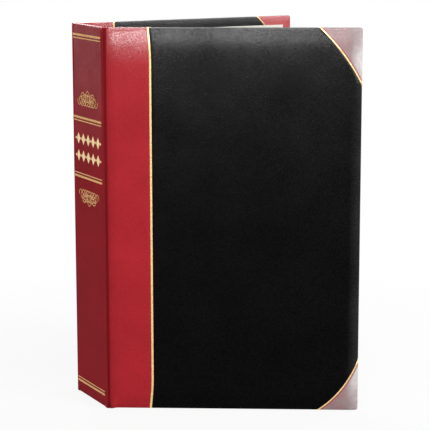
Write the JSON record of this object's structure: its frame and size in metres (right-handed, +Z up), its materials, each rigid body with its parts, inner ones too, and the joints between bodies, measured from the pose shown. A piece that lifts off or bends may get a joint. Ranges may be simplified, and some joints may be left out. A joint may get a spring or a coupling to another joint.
{
  "type": "photo album",
  "caption": "Tall ring-bound pocket photo album, standing: padded black leatherette covers with red spine, strip and corners, gilt lines, and fanned pocket leaves",
  "frame": {"origin": "in the middle of the spine's bottom edge, on the surface that the album stands on", "axes": "+Z up the spine, +X from the spine to the fore edge of the closed album, +Y from the front cover to the back cover"},
  "size_m": [0.2384, 0.1921, 0.3622],
  "materials": {
    "red_leatherette": "satin embossed pebble grain, deep red",
    "black_leatherette": "satin embossed pebble grain, black",
    "gilding": "hot-pressed gold foil",
    "board": "grey bookbinding board",
    "foam": "soft foam wadding",
    "lining_paper": "matt lining paper",
    "pocket_film": "clear pocket film over white paper",
    "plated_steel": "nickel plated"
  },
  "bodies": {
    "spine": {"spine_board": "board", "spine_cloth": "red_leatherette", "spine_lining": "lining_paper", "spine_rules": "gilding", "spine_scrolls": "gilding", "spine_lozenges": "gilding", "front_joint": "red_leatherette", "back_joint": "red_leatherette", "ring_base": "plated_steel", "ring_rivets": "plated_steel", "lever_pins": "plated_steel"},
    "front_cover": {"front_board": "board", "front_padding": "foam", "front_field": "black_leatherette", "front_strip": "red_leatherette", "front_corner_top": "red_leatherette", "front_corner_bottom": "red_leatherette", "front_gilding": "gilding", "front_lining": "lining_paper"},
    "back_cover": {"back_board": "board", "back_padding": "foam", "back_field": "black_leatherette", "back_strip": "red_leatherette", "back_corner_top": "red_leatherette", "back_corner_bottom": "red_leatherette", "back_gilding": "gilding", "back_lining": "lining_paper"},
    "front_rings": {"front_blade": "plated_steel", "front_half_rings": "plated_steel"},
    "back_rings": {"back_blade": "plated_steel", "back_half_rings": "plated_steel"},
    "lever_top": {"lever_top": "plated_steel"},
    "lever_bottom": {"lever_bottom": "plated_steel"},
    "front_leaf_1": {"front_leaf_1": "pocket_film"},
    "front_leaf_2": {"front_leaf_2": "pocket_film"},
    "front_leaf_3": {"front_leaf_3": "pocket_film"},
    "front_leaf_4": {"front_leaf_4": "pocket_film"},
    "front_leaf_5": {"front_leaf_5": "pocket_film"},
    "front_leaf_6": {"front_leaf_6": "pocket_film"},
    "front_leaf_7": {"front_leaf_7": "pocket_film"},
    "front_leaf_8": {"front_leaf_8": "pocket_film"},
    "back_leaf_1": {"back_leaf_1": "pocket_film"},
    "back_leaf_2": {"back_leaf_2": "pocket_film"},
    "back_leaf_3": {"back_leaf_3": "pocket_film"},
    "back_leaf_4": {"back_leaf_4": "pocket_film"},
    "back_leaf_5": {"back_leaf_5": "pocket_film"},
    "back_leaf_6": {"back_leaf_6": "pocket_film"},
    "back_leaf_7": {"back_leaf_7": "pocket_film"},
    "back_leaf_8": {"back_leaf_8": "pocket_film"}
  },
  "joints": [
    {"name": "front_cover_hinge", "type": "hinge", "parent": "spine", "child": "front_cover", "pos_m": [-0.0004, -0.0363, 0], "axis": [0, 0, -1], "range_deg": [-30, 60]},
    {"name": "back_cover_hinge", "type": "hinge", "parent": "spine", "child": "back_cover", "pos_m": [-0.0004, 0.0363, 0], "axis": [0, 0, 1], "range_deg": [0, 90]},
    {"name": "front_ring_swing", "type": "hinge", "parent": "spine", "child": "front_rings", "pos_m": [0.0049, -0.0116, 0], "axis": [0, 0, -1], "range_deg": [0, 12]},
    {"name": "back_ring_swing", "type": "hinge", "parent": "spine", "child": "back_rings", "pos_m": [0.0049, 0.0116, 0], "axis": [0, 0, 1], "range_deg": [0, 12]},
    {"name": "lever_top_press", "type": "hinge", "parent": "spine", "child": "lever_top", "pos_m": [0.0068, 0, 0.3228], "axis": [0, -1, 0], "range_deg": [0, 26.4]},
    {"name": "lever_bottom_press", "type": "hinge", "parent": "spine", "child": "lever_bottom", "pos_m": [0.0068, 0, 0.0392], "axis": [0, 1, 0], "range_deg": [0, 26.4]},
    {"name": "front_leaf_1_turn", "type": "hinge", "parent": "front_rings", "child": "front_leaf_1", "pos_m": [0.02625, 0, 0], "axis": [0, 0, 1], "range_deg": [0, 12]},
    {"name": "front_leaf_2_turn", "type": "hinge", "parent": "front_leaf_1", "child": "front_leaf_2", "pos_m": [0.02625, 0, 0], "axis": [0, 0, -1], "range_deg": [-3.52, 7.03]},
    {"name": "front_leaf_3_turn", "type": "hinge", "parent": "front_leaf_1", "child": "front_leaf_3", "pos_m": [0.02625, 0, 0], "axis": [0, 0, -1], "range_deg": [-7.03, 14.06]},
    {"name": "front_leaf_4_turn", "type": "hinge", "parent": "front_leaf_1", "child": "front_leaf_4", "pos_m": [0.02625, 0, 0], "axis": [0, 0, -1], "range_deg": [-10.55, 21.09]},
    {"name": "front_leaf_5_turn", "type": "hinge", "parent": "front_leaf_1", "child": "front_leaf_5", "pos_m": [0.02625, 0, 0], "axis": [0, 0, -1], "range_deg": [-14.06, 28.12]},
    {"name": "front_leaf_6_turn", "type": "hinge", "parent": "front_leaf_1", "child": "front_leaf_6", "pos_m": [0.02625, 0, 0], "axis": [0, 0, -1], "range_deg": [-17.58, 35.15]},
    {"name": "front_leaf_7_turn", "type": "hinge", "parent": "front_leaf_1", "child": "front_leaf_7", "pos_m": [0.02625, 0, 0], "axis": [0, 0, -1], "range_deg": [-21.09, 42.18]},
    {"name": "front_leaf_8_turn", "type": "hinge", "parent": "front_leaf_1", "child": "front_leaf_8", "pos_m": [0.02625, 0, 0], "axis": [0, 0, -1], "range_deg": [-24.6, 49.2]},
    {"name": "back_leaf_1_turn", "type": "hinge", "parent": "back_rings", "child": "back_leaf_1", "pos_m": [0.02625, 0, 0], "axis": [0, 0, -1], "range_deg": [0, 12]},
    {"name": "back_leaf_2_turn", "type": "hinge", "parent": "back_leaf_1", "child": "back_leaf_2", "pos_m": [0.02625, 0, 0], "axis": [0, 0, 1], "range_deg": [0, 10.55]},
    {"name": "back_leaf_3_turn", "type": "hinge", "parent": "back_leaf_1", "child": "back_leaf_3", "pos_m": [0.02625, 0, 0], "axis": [0, 0, 1], "range_deg": [0, 21.09]},
    {"name": "back_leaf_4_turn", "type": "hinge", "parent": "back_leaf_1", "child": "back_leaf_4", "pos_m": [0.02625, 0, 0], "axis": [0, 0, 1], "range_deg": [0, 31.63]},
    {"name": "back_leaf_5_turn", "type": "hinge", "parent": "back_leaf_1", "child": "back_leaf_5", "pos_m": [0.02625, 0, 0], "axis": [0, 0, 1], "range_deg": [0, 42.18]},
    {"name": "back_leaf_6_turn", "type": "hinge", "parent": "back_leaf_1", "child": "back_leaf_6", "pos_m": [0.02625, 0, 0], "axis": [0, 0, 1], "range_deg": [0, 52.72]},
    {"name": "back_leaf_7_turn", "type": "hinge", "parent": "back_leaf_1", "child": "back_leaf_7", "pos_m": [0.02625, 0, 0], "axis": [0, 0, 1], "range_deg": [0, 63.26]},
    {"name": "back_leaf_8_turn", "type": "hinge", "parent": "back_leaf_1", "child": "back_leaf_8", "pos_m": [0.02625, 0, 0], "axis": [0, 0, 1], "range_deg": [0, 73.8]}
  ],
  "couplings": [
    {"joint": "back_ring_swing", "follows": "front_ring_swing", "ratio": 1},
    {"joint": "lever_top_press", "follows": "front_ring_swing", "ratio": 2.2},
    {"joint": "lever_bottom_press", "follows": "front_ring_swing", "ratio": 2.2},
    {"joint": "front_leaf_1_turn", "follows": "front_ring_swing", "ratio": 1},
    {"joint": "front_leaf_2_turn", "follows": "front_cover_hinge", "ratio": 0.11714},
    {"joint": "front_leaf_3_turn", "follows": "front_cover_hinge", "ratio": 0.23429},
    {"joint": "front_leaf_4_turn", "follows": "front_cover_hinge", "ratio": 0.35143},
    {"joint": "front_leaf_5_turn", "follows": "front_cover_hinge", "ratio": 0.46857},
    {"joint": "front_leaf_6_turn", "follows": "front_cover_hinge", "ratio": 0.58571},
    {"joint": "front_leaf_7_turn", "follows": "front_cover_hinge", "ratio": 0.70286},
    {"joint": "front_leaf_8_turn", "follows": "front_cover_hinge", "ratio": 0.82},
    {"joint": "back_leaf_1_turn", "follows": "front_ring_swing", "ratio": 1},
    {"joint": "back_leaf_2_turn", "follows": "back_cover_hinge", "ratio": 0.11714},
    {"joint": "back_leaf_3_turn", "follows": "back_cover_hinge", "ratio": 0.23429},
    {"joint": "back_leaf_4_turn", "follows": "back_cover_hinge", "ratio": 0.35143},
    {"joint": "back_leaf_5_turn", "follows": "back_cover_hinge", "ratio": 0.46857},
    {"joint": "back_leaf_6_turn", "follows": "back_cover_hinge", "ratio": 0.58571},
    {"joint": "back_leaf_7_turn", "follows": "back_cover_hinge", "ratio": 0.70286},
    {"joint": "back_leaf_8_turn", "follows": "back_cover_hinge", "ratio": 0.82}
  ]
}
